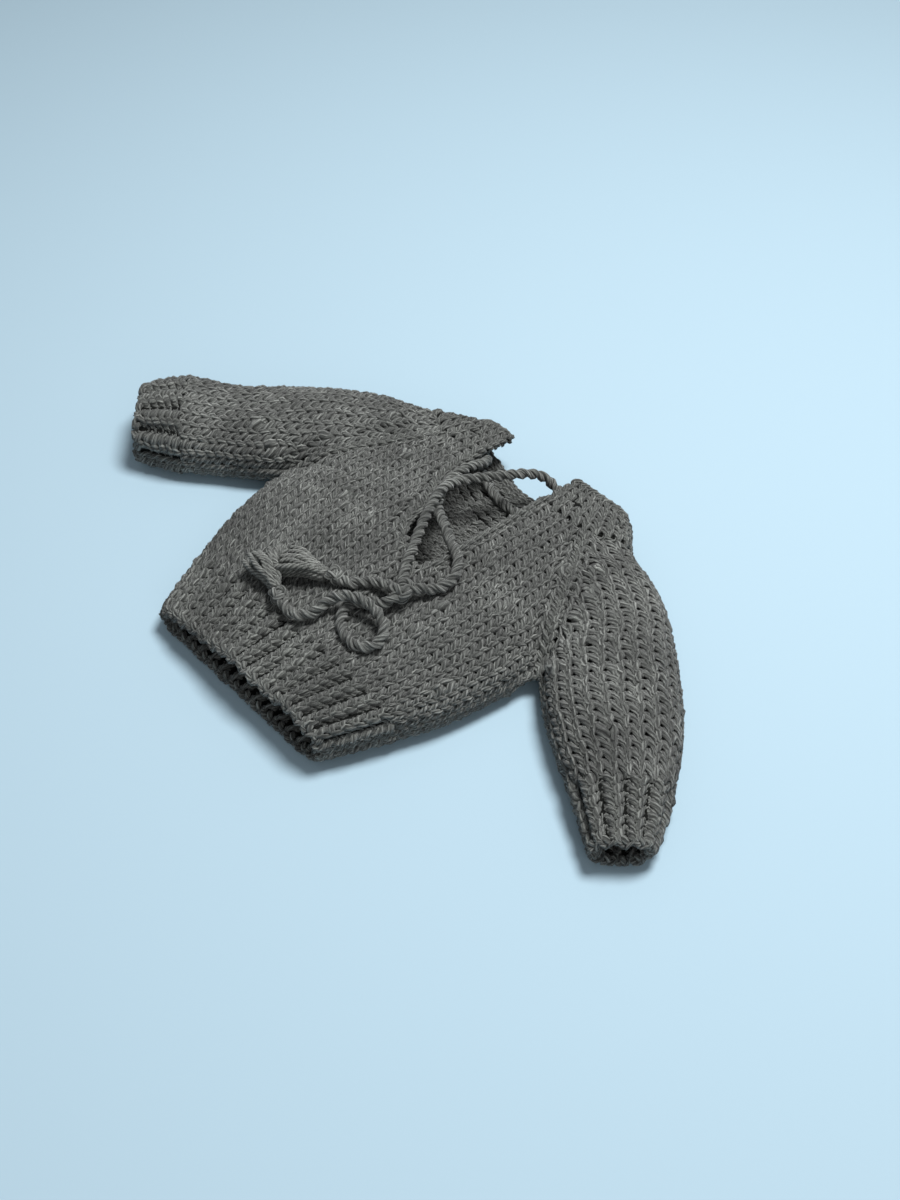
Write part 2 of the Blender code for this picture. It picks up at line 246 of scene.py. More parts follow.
BODY_STITCHES = 34
BACK_STITCHES = 32
SLEEVE_STITCHES = 20
NECK_PITCH = 0.45  # width of a body stitch at the neckband
SLEEVE_PITCH = 0.6  # width of a sleeve stitch at the neckband
RIB_SQUEEZE = 0.7  # how much wider the knit ribs are than the purl furrows
RIB_RELIEF = 0.15

# the drawstring's routes, and the plan places of its knots and tassels
TIE_KNOT = (2.45, 6.1, 3.14)
LEFT_END_KNOT = (0.0, 4.85, 3.0)
RIGHT_END_KNOT = (-0.89, 2.8, 2.7)
LEFT_TASSEL = ((-0.36, 4.7, 2.92), (-2.1, 3.96, 2.86))
RIGHT_TASSEL = ((-1.25, 2.93, 2.7), (-3.03, 3.58, 2.74))
LEFT_CORD = (
    (1.45, 15.75, 1.3),
    (0.95, 15.8, 1.38),
    (0.6, 15.55, 1.75),
    (0.25, 14.9, 2.1),
    (-0.28, 13.9, 2.25),
    (-0.85, 12.8, 2.4),
    (-1.0, 12.0, 2.6),
    (-0.76, 11.0, 2.92),
    (-0.15, 9.8, 3.05),
    (0.77, 8.3, 3.08),
    (1.45, 7.2, 3.06),
    (2.09, 6.44, 3.1),
    (2.42, 6.1, 3.12),
    (1.98, 5.94, 3.1),
    (1.5, 5.8, 3.02),
    (1.0, 5.45, 2.95),
    (0.72, 5.05, 2.92),
    (0.42, 4.9, 2.98),
    (0.1, 4.86, 3.0),
)
RIGHT_CORD = (
    (-2.8, 15.2, 1.2),
    (-2.25, 15.05, 1.24),
    (-1.75, 14.4, 1.7),
    (-1.6, 13.3, 2.2),
    (-1.45, 12.2, 2.36),
    (-1.0, 11.2, 2.46),
    (-0.35, 10.5, 2.5),
    (0.6, 9.9, 2.85),
    (1.7, 9.25, 3.06),
    (2.6, 8.8, 3.02),
    (3.15, 8.1, 2.97),
    (3.2, 7.3, 2.98),
    (2.71, 6.52, 3.1),
    (2.5, 6.05, 3.12),
    (2.5, 5.56, 3.1),
    (2.36, 5.28, 2.99),
    (1.85, 4.98, 2.86),
    (1.4, 4.45, 2.78),
    (1.6, 3.8, 2.7),
    (2.2, 3.4, 2.64),
    (2.95, 3.35, 2.58),
    (3.45, 3.8, 2.63),
    (3.3, 4.4, 2.74),
    (2.75, 4.72, 2.95),
    (2.1, 4.68, 3.2),
    (1.4, 4.35, 3.3),
    (0.9, 3.85, 3.05),
    (0.75, 3.2, 2.72),
    (0.35, 2.72, 2.62),
    (-0.15, 2.6, 2.62),
    (-0.48, 2.67, 2.67),
    (-0.8, 2.76, 2.7),
)
BAND_CORD = (
    (-3.2, 15.4, 1.2),
    (-3.7, 15.4, 1.2),
    (-4.15, 15.4, 0.95),
    (-3.8, 15.4, 0.62),
    (-2.8, 15.05, 0.52),
    (-1.5, 14.45, 0.52),
    (0.0, 14.1, 0.52),
    (1.5, 14.45, 0.52),
    (3.0, 15.1, 0.52),
    (4.3, 15.4, 0.62),
    (4.7, 15.4, 0.95),
    (4.2, 15.4, 1.25),
    (3.0, 15.5, 1.3),
    (1.95, 15.7, 1.3),
)
STRAND = 0.125  # radius of each of the cord's two strands
STRAND_ASIDE = 0.105  # from the cord's middle to the middle of each strand
CORD_TURN = 0.95  # length of cord in which its strands go once round each other


def mix(a, b, share):
    return a + (b - a) * share


def ease(share):
    share = np.clip(share, 0.0, 1.0)
    return share * share * (3 - 2 * share)


def through(knots, at):
    """A smooth curve through knots (place, value, ...), read at any places."""
    places = np.array([knot[0] for knot in knots], float)
    values = np.array([knot[1:] for knot in knots], float)
    last = len(places) - 1
    low, high = np.maximum(np.arange(last + 1) - 1, 0), np.minimum(np.arange(last + 1) + 1, last)
    slopes = (values[high] - values[low]) / (places[high] - places[low])[:, None]
    at = np.clip(np.asarray(at, float), places[0], places[-1])
    i = np.clip(np.searchsorted(places, at, side="right") - 1, 0, last - 1)
    span = (places[i + 1] - places[i])[..., None]
    t = (at - places[i])[..., None] / span
    first, second, rise = slopes[i] * span, slopes[i + 1] * span, values[i + 1] - values[i]
    curl = first + second - 2 * rise
    found = values[i] + t * (first + t * (rise - first - curl + t * curl))
    return found[..., 0] if values.shape[1] == 1 else found


def arch(place, sharp):
    return np.maximum(0.0, 1 - np.abs(place) ** 2.4) ** mix(1.0, 1 / 2.4, sharp)


def corner_height(inset, rise):
    share = np.clip(1 - inset / CORNER, 0.0, 1.0)
    return rise * (1 - np.sqrt(1 - share * share))


def closure(y):
    return 1 - ease((y - UNDERARM[1]) / ((BAND_BASE - UNDERARM[1]) * CLOSED))


def seam_line(y):
    above = mix(UNDERARM[0], RAGLAN_END[0], (y - UNDERARM[1]) / (BAND_BASE - UNDERARM[1]))
    return np.where(y <= UNDERARM[1], through(HALF_WIDTHS, y), above)


def body_edge(y):
    return seam_line(y) - SEAM_HALF / ACROSS[0] * ease(1 + (y - UNDERARM[1]) / 1.2)


def back_sag(x, y):
    """How far the back of the neck has slid down from its natural line, at a plan place."""
    across = np.maximum(0.0, 1 - (x / RAGLAN_END[0]) ** 2)
    return BACK_SAG * ease((y - 9.0) / (BAND_BASE - 9.0)) * across**2


def slit_edges(y):
    found = through(SLIT, y)
    return found[..., 0] - found[..., 1], found[..., 0] + found[..., 1]


def ripple(x, y, seed, wave=1.0):
    """A gentle uneven swell between about -1 and 1, the same each time for a seed."""
    turns = np.random.default_rng(seed)
    total = 0.0
    for _ in range(6):
        heading, phase = turns.uniform(0, 2 * math.pi, 2)
        pace = turns.uniform(0.6, 1.7) * 2 * math.pi / wave
        total = total + np.sin(pace * (x * math.cos(heading) + y * math.sin(heading)) + phase)
    return total / 3


def front_height(x, y):
    closed = closure(y)
    edge = mix(RAGLAN_HEIGHT, SIDE + SEAM_HALF, closed)
    place = np.minimum(1.0, np.abs(x) / body_edge(y))
    height = edge + (through(CROWNS, y) - edge) * arch(place, closed)
    lean = 1 + 0.04 * x * ease(1 - y / 6.5)
    return height * lean + 0.11 * ripple(x, y, 3, 4.5) * arch(place, 0.0)


class Fabric:
    """A surface through rows of points, read in rows, in stitches from the rows' middle and by height."""

    FINE = 220
    PER_ROW = 2

    def __init__(self, points_at, rows, across):
        """points_at gives the points of a knitted row, and across how many stitches it has."""
        self.rows = rows
        places = np.arange(-self.PER_ROW, (rows + 1) * self.PER_ROW + 1) / self.PER_ROW
        grid = []
        for place in places:
            points = points_at(place)
            run = np.concatenate([[0.0], np.cumsum(np.linalg.norm(np.diff(points, axis=0), axis=1))])
            steps = np.linspace(0, run[-1], self.FINE)
            grid.append(np.stack([np.interp(steps, run, points[:, k]) for k in range(3)], axis=1))
        self.points = np.array(grid)
        self.length = np.linalg.norm(np.diff(self.points, axis=1), axis=2).sum(axis=1)
        self.across = np.array([across(place, length) for place, length in zip(places, self.length)])
        normal = np.cross(np.gradient(self.points, axis=1), np.gradient(self.points, axis=0))
        self.normal = normal / np.linalg.norm(normal, axis=2)[..., None]

    def level(self, row):
        return np.clip((np.asarray(row, float) + 1) * self.PER_ROW, 0, len(self.points) - 1.001)

    def count(self, row):
        return np.interp(self.level(row), np.arange(len(self.across)), self.across)

    def at(self, row, column, lift):
        level = self.level(row)
        share = np.clip(0.5 + column / self.count(row), -0.02, 1.02) * (self.FINE - 1)
        i = level.astype(int)
        j = np.clip(share.astype(int), 0, self.FINE - 2)
        up, over = (level - i)[..., None], (share - j)[..., None]
        out = []
        for grid in (self.points, self.normal):
            low = mix(grid[i, j], grid[i, j + 1], over)
            high = mix(grid[i + 1, j], grid[i + 1, j + 1], over)
            out.append(mix(low, high, up))
        return out[0] + out[1] * lift[..., None]

    def column(self, row, x):
        """The column that a plan place x lies on, where the row runs along x."""
        line = self.points[int(round(float(self.level(row))))][:, 0]
        order = np.argsort(line)
        share = np.interp(x, line[order], np.linspace(0, 1, self.FINE)[order])
        return (share - 0.5) * float(self.count(row))


def yarn_mesh():
    """An empty mesh with the UV map that the yarn's finish is read along."""
    bm = bmesh.new()
    bm.loops.layers.uv.new("yarn")
    return bm


def frames(path):
    """Unit directions along a path, sideways and upwards from it, turned as little as possible."""
    ahead = np.gradient(path, axis=0)
    ahead /= np.linalg.norm(ahead, axis=1)[:, None]
    up = np.cross(ahead[0], (0.0, 0.0, 1.0) if abs(ahead[0][2]) < 0.9 else (1.0, 0.0, 0.0))
    ups = []
    for heading in ahead:
        up = up - heading * (up @ heading)
        up = up / np.linalg.norm(up)
        ups.append(up)
    ups = np.array(ups)
    return ahead, np.cross(ups, ahead), ups


def rolled(bm, path, radius, turns, flatten=1.0, lobe=0.09, sides=3 * PLIES, shift=0.0):
    """Plied yarn along a path of points: a grid rolled into a tube, ridged along its turning plies."""
    steps = len(path) - 1
    ahead, aside, ups = frames(path)
    radius = np.broadcast_to(radius, (steps + 1,))
    made = bmesh.ops.create_grid(bm, x_segments=steps, y_segments=sides, size=0.5, calc_uvs=True)["verts"]
    length = float(np.linalg.norm(np.diff(path, axis=0), axis=1).sum())
    uv = bm.loops.layers.uv.active
    for face in {face for vert in made for face in vert.link_faces}:
        for corner in face.loops:
            corner[uv].uv.x = corner[uv].uv.x * length + shift * 7.0
    for vert in made:
        i = round((vert.co.x + 0.5) * steps)
        j = round((vert.co.y + 0.5) * sides)
        angle = 2 * math.pi * (j / sides + turns * i / steps + shift)
        reach = radius[i] * (1 - lobe * math.cos(2 * math.pi * PLIES * j / sides))
        out = ups[i] * reach * math.cos(angle) + aside[i] * reach * math.sin(angle)
        vert.co = (path[i] + out * (1.0, 1.0, flatten)) * CM
    bmesh.ops.remove_doubles(bm, verts=made, dist=1e-8)


def close_ends(bm):
    rims = [edge for edge in bm.edges if edge.is_boundary]
    bmesh.ops.holes_fill(bm, edges=rims, sides=0)


def loop_path(ribbed):
    """One loop's line in centimetres: its feet left and right, a narrow waist and a wide head."""
    turn = np.linspace(-math.pi, math.pi, LOOP_STEPS + 1)
    depth = -LOOP_DEPTH * np.cos(2 * turn)
    if ribbed:
        depth *= np.cos(2 * np.maximum(0.0, np.abs(turn) - 0.75 * math.pi))
    across = STITCH * (turn / (2 * math.pi) + LOOP_WAIST * np.sin(2 * turn))
    return np.stack([across, ROW * LOOP_REACH * np.cos(turn), depth], axis=1)


def loop_tile(ribbed):
    """One stitch, as a mesh about its own middle, that meets its neighbours left and right."""
    bm = yarn_mesh()
    path = loop_path(ribbed)
    ends = np.array([path[0] - (path[-1] - path[-2]), path[-1] + (path[1] - path[0])])
    padded = np.concatenate([ends[:1], path, ends[1:]])
    ahead = (padded[2:] - padded[:-2]) / 2
    ahead /= np.linalg.norm(ahead, axis=1)[:, None]
    ups = np.array([0.0, 0.0, 1.0]) - ahead * ahead[:, 2:3]
    ups /= np.linalg.norm(ups, axis=1)[:, None]
    aside = np.cross(ups, ahead)
    sides = 2 * PLIES
    grid = bmesh.ops.create_grid(bm, x_segments=LOOP_STEPS, y_segments=sides, size=0.5, calc_uvs=True)
    made = grid["verts"]
    for vert in made:
        i = round((vert.co.x + 0.5) * LOOP_STEPS)
        j = round((vert.co.y + 0.5) * sides)
        angle = 2 * math.pi * (j / sides + LOOP_TWIST * i / LOOP_STEPS)
        reach = YARN * (1.08 if j % 2 else 0.9)
        vert.co = path[i] + ups[i] * reach * math.cos(angle) * FLATTEN + aside[i] * reach * math.sin(angle)
    bmesh.ops.remove_doubles(bm, verts=made, dist=1e-6)
    mesh = bpy.data.meshes.new("loop")
    bm.to_mesh(mesh)
    bm.free()
    return bpy.data.objects.new("loop", mesh)


def repeated(tile, count):
    """A mesh with that many copies of the tile, one after another."""
    array = tile.modifiers.new("repeat", "ARRAY")
    array.count = count
    array.use_relative_offset = False
    array.use_constant_offset = True
    array.constant_offset_displace = (1.0, 0.0, 0.0)
    bpy.context.scene.collection.objects.link(tile)
    bpy.context.view_layer.update()
    mesh = bpy.data.meshes.new_from_object(tile.evaluated_get(bpy.context.evaluated_depsgraph_get()))
    bpy.context.scene.collection.objects.unlink(tile)
    tile.modifiers.remove(array)
    return mesh


def piece(name, mesh, material, slot):
    mesh.name = name
    mesh.materials.clear()
    mesh.materials.append(material)
    mesh.shade_smooth()
    obj = bpy.data.objects.new(name, mesh)
    bpy.context.scene.collection.objects.link(obj)
    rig.slot(obj, slot)
    return obj


def finished(name, bm, material, slot):
    close_ends(bm)
    mesh = bpy.data.meshes.new(name)
    bm.to_mesh(mesh)
    bm.free()
    return piece(name, mesh, material, slot)


def lay_loops(name, cells, place, ribbed, material, slot, holes=()):
    """A piece of knitting: one loop for each cell, put in place by place(cell values, across, up, depth)."""
    tile = TILES[ribbed]
    local = np.array([vert.co for vert in tile.data.vertices])
    mesh = repeated(tile, len(cells))
    points = place(cells, local[:, 0] / STITCH, local[:, 1] / ROW, local[:, 2])
    for centre, size in holes:
        away = points - centre
        far = np.linalg.norm(away, axis=-1, keepdims=True)
        points = points + away / np.maximum(far, 0.02) * size * np.exp(-((far / (1.7 * size + 0.12)) ** 2))
    points[..., 2] = np.maximum(points[..., 2], PRESSED)
    mesh.vertices.foreach_set("co", (points * CM).astype(np.float32).ravel())
    uv = mesh.uv_layers[0].uv
    values = np.zeros(len(uv) * 2, np.float32)
    uv.foreach_get("vector", values)
    values = values.reshape(len(cells), -1, 2)
    values[:, :, 0] = values[:, :, 0] * LOOP_YARN + np.arange(len(cells))[:, None] * LOOP_YARN % 97.0
    uv.foreach_set("vector", values.ravel())
    bm = bmesh.new()
    bm.from_mesh(mesh)
    bmesh.ops.remove_doubles(bm, verts=bm.verts, dist=2e-6)
    close_ends(bm)
    bm.to_mesh(mesh)
    bm.free()
    return piece(name, mesh, material, slot)


def spans_of(fabric, row, gaps):
    """Where a row has stitches: from edge to edge of the fabric, apart from its gaps, in columns."""
    half = float(fabric.count(row + 0.5)) / 2
    marks = [-half]
    for low, high in gaps(row + 0.5):
        marks += [low, high]
    marks.append(half)
    return [(marks[k], marks[k + 1]) for k in range(0, len(marks), 2)]


def knit(name, fabric, first, last, ribbed, material, slot, gaps=lambda row: (), skip=(), holes=(), seed=5):
    """Knits a fabric from its first row up to its last.

    skip are the stitches left open, and holes the gaps pulled wide.
    """
    cells = []
    for row in range(first, last):
        for low, high in spans_of(fabric, row, gaps):
            start, end = round(low), round(high)
            for column in range(start, end):
                if (column, row) not in skip:
                    cells.append((column, row, low - start, high - end, start, end))
    cells = np.array(cells, float)

    def place(cells, across, up, depth):
        column, row, low, high, start, end = (cells[:, k : k + 1] for k in range(6))
        turned = np.where(ribbed & (column % 2 == 1), -1.0, 1.0)
        column = column + 0.5 + across[None, :] * turned
        row = row + 0.5 + up[None, :] + 0.07 * ripple(column, row, seed + 1, 5.0)
        lift = depth[None, :] * turned - SUNK
        column = column + low * np.clip(1 - (column - start) / 2, 0, 1)
        column = column + high * np.clip(1 - (end - column) / 2, 0, 1)
        column = column + 0.09 * ripple(column, row, seed, 3.0) + 0.035 * ripple(column, row, seed + 3, 1.4)
        row = row + 0.05 * ripple(column, row, seed + 4, 1.7)
        lift = lift + 0.03 * ripple(column, row, seed + 2, 2.5) + 0.018 * ripple(column, row, seed + 5, 1.2)
        if ribbed:
            lift = lift + RIB_RELIEF * np.sin(math.pi * column) - 0.04
            inner = np.clip(np.minimum(column - start, end - column), 0, 1)
            column = column - inner * RIB_SQUEEZE * np.cos(math.pi * column) / math.pi
        return fabric.at(row, column, lift)

    return lay_loops(name, cells, place, ribbed, material, slot, holes)


def shade_backing(name, fabric, first, last, gaps=lambda row: ()):
    """A near-black sheet behind the loops: painted shade that shows through the gaps between them. It also closes the
    fabric.
    """
    bm = bmesh.new()
    blocks = []
    for row in range(first, last):
        count = len(spans_of(fabric, row, gaps))
        if blocks and blocks[-1][2] == count:
            blocks[-1][1] = row + 1
        else:
            blocks.append([row, row + 1, count])
    for low_row, high_row, count in blocks:
        for index in range(count):
            steps_up, steps_over = 2 * (high_row - low_row), 96 // count
            made = bmesh.ops.create_grid(
                bm, x_segments=steps_over, y_segments=steps_up, size=0.5, calc_uvs=True
            )
            for vert in made["verts"]:
                row = low_row + (vert.co.y + 0.5) * (high_row - low_row)
                inside = min(max(row, low_row + 0.5), high_row - 0.5)
                low, high = spans_of(fabric, inside - 0.5, gaps)[index]
                column = mix(low + 0.25 * (index > 0), high - 0.25 * (index < count - 1), vert.co.x + 0.5)
                vert.co = fabric.at(np.array(row), np.array(column), np.array(-SUNK - 0.03)) * CM
    bmesh.ops.remove_doubles(bm, verts=bm.verts, dist=1e-6)
    mesh = bpy.data.meshes.new(name)
    bm.to_mesh(mesh)
    bm.free()
    # its near-black finish is painted shade for the gaps between the loops
    obj = piece(name, mesh, PAINTED_SHADE_BACKING, "knit")
    thick = obj.modifiers.new("thick", "SOLIDIFY")
    thick.thickness = 0.0006
    thick.offset = 0.0
    return obj


def seam(name, line, outward, half=0.27, slot="seam", material=None, sunk=0.1):
    """A column of stitches that covers a join. outward is the way each point of its line faces."""
    line = np.asarray(line, float)
    outward = np.broadcast_to(np.asarray(outward, float), line.shape)
    run = np.concatenate([[0.0], np.cumsum(np.linalg.norm(np.diff(line, axis=0), axis=1))])
    rows = max(2, round(run[-1] / 0.43))

    def points_at(row):
        down = np.clip(row / rows, 0, 1) * run[-1]
        spot = np.array([np.interp(down, run, line[:, k]) for k in range(3)])
        later, sooner = min(down + 0.1, run[-1]), max(down - 0.1, 0.0)
        ends = [[np.interp(far, run, line[:, k]) for k in range(3)] for far in (sooner, later)]
        heading = np.array(ends[1]) - np.array(ends[0])
        heading /= np.linalg.norm(heading)
        facing = np.array([np.interp(down, run, outward[:, k]) for k in range(3)])
        over = np.cross(heading, facing)
        over /= np.linalg.norm(over)
        spot = spot + heading * (row - np.clip(row, 0, rows)) * run[-1] / rows
        places = np.linspace(-half, half, 9)[:, None]
        return spot + over * places - np.cross(over, heading) * 0.5 * places**2

    chain = Fabric(points_at, rows, lambda row, length: 1)
    cells = np.array([(0, row) for row in range(rows)], float)

    def place(cells, across, up, depth):
        row = cells[:, 1:2] + 0.5 + up[None, :]
        column = np.broadcast_to(across[None, :] * 0.92, row.shape)
        lift = np.broadcast_to(depth[None, :] - sunk, row.shape)
        return chain.at(row, column, lift)

    return lay_loops(name, cells, place, False, material or SEAM_WOOL, slot)


def edge_strand(name, fabric, row, gaps=lambda row: (), material=None, slot="rib"):
    """The strand that the first row of loops hangs on, winding in and out of their feet."""
    bm = yarn_mesh()
    for low, high in spans_of(fabric, row - 0.5, gaps):
        column = np.arange(low + 0.1, high - 0.1, 0.1)
        turn = 2 * math.pi * column
        path = fabric.at(row + 0.1 + 0.16 * np.cos(turn), column, -SUNK + 0.1 * np.sin(turn))
        rolled(bm, path, 0.115, len(path) * 0.055)
    return finished(name, bm, material or RIB_WOOL, slot)


def smooth_route(stops, step=0.06):
    """Evenly spaced places along a smooth curve through a route's stops."""
    knots = [(k, *stop) for k, stop in enumerate(stops)]
    fine = through(knots, np.linspace(0, len(stops) - 1, 50 * len(stops)))
    run = np.concatenate([[0.0], np.cumsum(np.linalg.norm(np.diff(fine, axis=0), axis=1))])
    places = np.linspace(0, run[-1], int(run[-1] / step) + 1)
    return np.stack([np.interp(places, run, fine[:, k]) for k in range(3)], axis=1) - (0.0, LENGTH / 2, 0.0)


def twisted(bm, route, strand=STRAND, aside_by=STRAND_ASIDE, turn=CORD_TURN, start=0.0):
    """Two plied strands twisted round each other along a route."""
    ahead, aside, ups = frames(route)
    run = np.concatenate([[0.0], np.cumsum(np.linalg.norm(np.diff(route, axis=0), axis=1))])
    for half in (0.0, math.pi):
        angle = (2 * math.pi * run / turn + half + start)[:, None]
        path = route + (aside * np.cos(angle) + ups * np.sin(angle)) * aside_by
        rolled(bm, path, strand, -run[-1] / 1.1, shift=half / 5 + start, sides=2 * PLIES)


def knot(name, centre, size, thick, heading, slot="cord"):
    """A small overhand knot: one strand led through itself three times round."""
    bm = yarn_mesh()
    heading = np.array((*heading, 0.0)) / np.linalg.norm(heading)
    aside = np.array((-heading[1], heading[0], 0.0))
    up = np.array((0.0, 0.0, 1.0))
    turn = np.linspace(0.25, 2 * math.pi + 0.1, 90)
    along = (np.sin(turn) + 2 * np.sin(2 * turn)) / 3
    over = (np.cos(turn) - 2 * np.cos(2 * turn)) / 3
    rise = -np.sin(3 * turn)
    middle = np.array(centre) - (0.0, LENGTH / 2, 0.0)
    route = middle + (along[:, None] * heading + over[:, None] * aside) * size
    route = route + rise[:, None] * up * size * 0.45
    twisted(bm, route, thick, thick * 0.8, 0.7)
    return finished(name, bm, CORD_WOOL, slot)


def tassel(name, start, end, strands, seed):
    """A fan of cut strands that swells from its knot and spreads out flat on the knitting."""
    turns = np.random.default_rng(seed)
    start = np.array(start) - (0.0, LENGTH / 2, 0.0)
    end = np.array(end) - (0.0, LENGTH / 2, 0.0)
    axis = end - start
    reach = np.linalg.norm(axis)
    axis /= reach
    aside = np.cross((0.0, 0.0, 1.0), axis)
    aside /= np.linalg.norm(aside)
    up = np.cross(axis, aside)
    bm = yarn_mesh()
    along = np.linspace(0, 1, 26)
    for k in range(strands):
        layer = k % 3
        fan = (k // 3 + 0.5 * (layer == 1) + 0.5) / (strands / 3 + 0.5) * 2 - 1 + turns.uniform(-0.08, 0.08)
        high = (layer - 1) * 0.2
        length = reach * (1.02 + turns.uniform(-0.08, 0.1) - 0.12 * fan * fan)
        spread = 0.15 + 0.66 * along**1.15
        wave = 0.06 * np.sin(along * turns.uniform(5, 9) + turns.uniform(0, 6))
        bulge = np.sin(along * math.pi * 0.75) * 0.22
        path = (
            start
            + axis * (along * length)[:, None]
            + aside * (fan * spread + wave)[:, None]
            + up * (high * (0.7 + bulge * 4) * (1 - 0.35 * fan * fan) + bulge - 0.1 - 0.12 * along)[:, None]
        )
        thick = 0.125 * (1 - 0.3 * along**6) * turns.uniform(0.88, 1.12)
        rolled(bm, path, thick, reach / 0.75, shift=turns.uniform(0, 1), sides=2 * PLIES)
    return finished(name, bm, TASSEL_WOOL, "tassel")


# the garment's surfaces


def plan(x, y, z):
    return np.stack(np.broadcast_arrays(x, np.asarray(y, float) - LENGTH / 2, z), axis=-1)


EVEN = np.linspace(-1, 1, 161)
SPREAD = np.sin(EVEN * math.pi / 2)
RIB_ROWS = 6
PANEL_ROWS = 28


def body_y(row):
    """Height above the hem of a knitted row of the body: the rib's rows, and then the panel's."""
    if row <= RIB_ROWS:
        return row * RIB / RIB_ROWS
    return RIB + (row - RIB_ROWS) * (BAND_BASE - RIB) / PANEL_ROWS


def to_seam(points, y, drop):
    """Carries a row of the body on to its seams: down or up the sides, or outwards to the raglan seams."""
    step = np.array((float(seam_line(y) - body_edge(y)), 0.0, -drop * float(closure(y))))
    outward = np.sign(points[-1][0] - points[0][0])
    first, last = points[0] + step * (-outward, 1, 1), points[-1] + step * (outward, 1, 1)
    return np.concatenate([[first], points, [last]])


def front_row(row):
    y = body_y(row)
    x = SPREAD * body_edge(y)
    return to_seam(plan(x, y, front_height(x, y)), y, SEAM_HALF)


def back_row(row):
    y = body_y(row)
    edge = float(body_edge(y))
    x = -SPREAD * edge
    rise = (SIDE - SEAM_HALF) * closure(y)
    return to_seam(plan(x, y - back_sag(x, y), corner_height(edge - np.abs(x), rise)), y, -SEAM_HALF)


def body_across(stitches):
    def across(row, length):
        y = body_y(row)
        if y <= UNDERARM[1]:
            return stitches
        share = (y - UNDERARM[1]) / (BAND_BASE - UNDERARM[1])
        return length / mix(0.5, NECK_PITCH, share)

    return across


def underside(t):
    down = mix(RAGLAN_END, UNDERARM, t / UNDERARM_AT)
    line = down if t <= UNDERARM_AT else through(UNDERSIDE, t)
    return line + ACROSS * SEAM_HALF * float(ease(1 - (t - UNDERARM_AT) / 0.1))


def fold(t):
    start = RAGLAN_END + ACROSS * SHOULDER_DEPTH
    return through(((0.0, *start), *FOLD), t)


def sleeve_section(t, puff=0.0):
    """One turn of the left sleeve, from its front edge over the top, round the fold and back underneath.

    puff is how much wider and higher the cuff's end stands.
    """
    inner, outer = underside(t), fold(t)
    swell = puff * float(ease((t - 0.55) / 0.45))
    inner, outer = inner + (inner - outer) * swell * 0.16, outer + (outer - inner) * swell * 0.3
    width = np.linalg.norm(outer - inner)
    closed = float(closure(mix(BAND_BASE, UNDERARM[1], min(1.0, t / UNDERARM_AT))))
    edge = mix(RAGLAN_HEIGHT, SIDE + SEAM_HALF, closed)
    crown = float(through(SLEEVE_CROWNS, t)) + swell * 0.75
    low = np.where(SPREAD < 0, edge, SIDE)
    sharp = np.where(SPREAD < 0, closed, 1.0)
    share = (SPREAD + 1) / 2
    over = inner + (outer - inner) * share[:, None]
    height = low + (crown - low) * arch(SPREAD, sharp)
    height = height + 0.08 * ripple(over[:, 0], over[:, 1], 8, 3.5) * arch(SPREAD, 0.0)
    top = plan(over[:, 0], over[:, 1], height)
    share = share[::-1][1:]
    below = inner + (outer - inner) * share[:, None]
    height = corner_height((1 - share) * width, SIDE)
    height = height + corner_height(share * width, (SIDE - SEAM_HALF) * closed)
    ring = np.concatenate([top, plan(below[:, 0], below[:, 1], height)])
    inward = -SEAM_HALF * float(ease(1 - (t - UNDERARM_AT) / 0.1))
    step = np.array((*ACROSS * inward, 0.0))
    fall = np.array((0.0, 0.0, SEAM_HALF * closed))
    return np.concatenate([[ring[0] + step - fall], ring, [ring[-1] + step + fall]])


def sleeve_lengths():
    """How far down the sleeve each station lies, along its middle."""
    stations = np.linspace(0, 1, 101)
    middle = np.array([(underside(t) + fold(t)) / 2 for t in stations])
    return stations, np.concatenate([[0.0], np.cumsum(np.linalg.norm(np.diff(middle, axis=0), axis=1))])


LEFT_CUFF_DRAWN = 0.5  # how much longer the left sleeve is pulled at its cuff
RIGHT_CUFF_END = 0.955  # how much of its full length the right sleeve is drawn out to
CUFF_ROWS = 6
SLEEVE_ROWS = 25
STATIONS, DOWN = sleeve_lengths()


def sleeve_t(row):
    """The station of a knitted row, counted from the cuff's edge up to the neckband."""
    cuff = float(np.interp(CUFF_AT, STATIONS, DOWN))
    if row <= CUFF_ROWS:
        down = mix(DOWN[-1], cuff, row / CUFF_ROWS)
    else:
        down = mix(cuff, 0.0, (row - CUFF_ROWS) / SLEEVE_ROWS)
    return float(np.interp(down, DOWN, STATIONS)), max(0.0, down - DOWN[-1]), max(0.0, -down)


def sleeve_row(side):
    def points_at(row):
        t, past, short = sleeve_t(row)
        if side < 0:
            t *= RIGHT_CUFF_END
        points = sleeve_section(t, 1.0 if side < 0 else 0.0)
        heading = np.array((*(fold(min(1.0, t + 0.02)) - fold(t - 0.02)), 0.0))
        heading /= np.linalg.norm(heading)
        drawn = LEFT_CUFF_DRAWN * max(0.0, 1 - row / 12) if side > 0 else 0.0
        points = points + heading * (past - short + drawn)
        if side < 0:
            points = points[::-1] * (-1.0, 1.0, 1.0)
        return points

    return points_at


def sleeve_across(row, length):
    t, _, _ = sleeve_t(row)
    if t >= UNDERARM_AT:
        return SLEEVE_STITCHES
    widest = 0.66
    return length / mix(SLEEVE_PITCH, widest, t / UNDERARM_AT)


BAND_ROWS = 5
BAND_STITCHES = 46
EYELETS = (-21, -16, -12, -8, -4, 0, 4, 8, 12, 16, 20)  # columns left open along the neckband
EYELET_ROW = 2


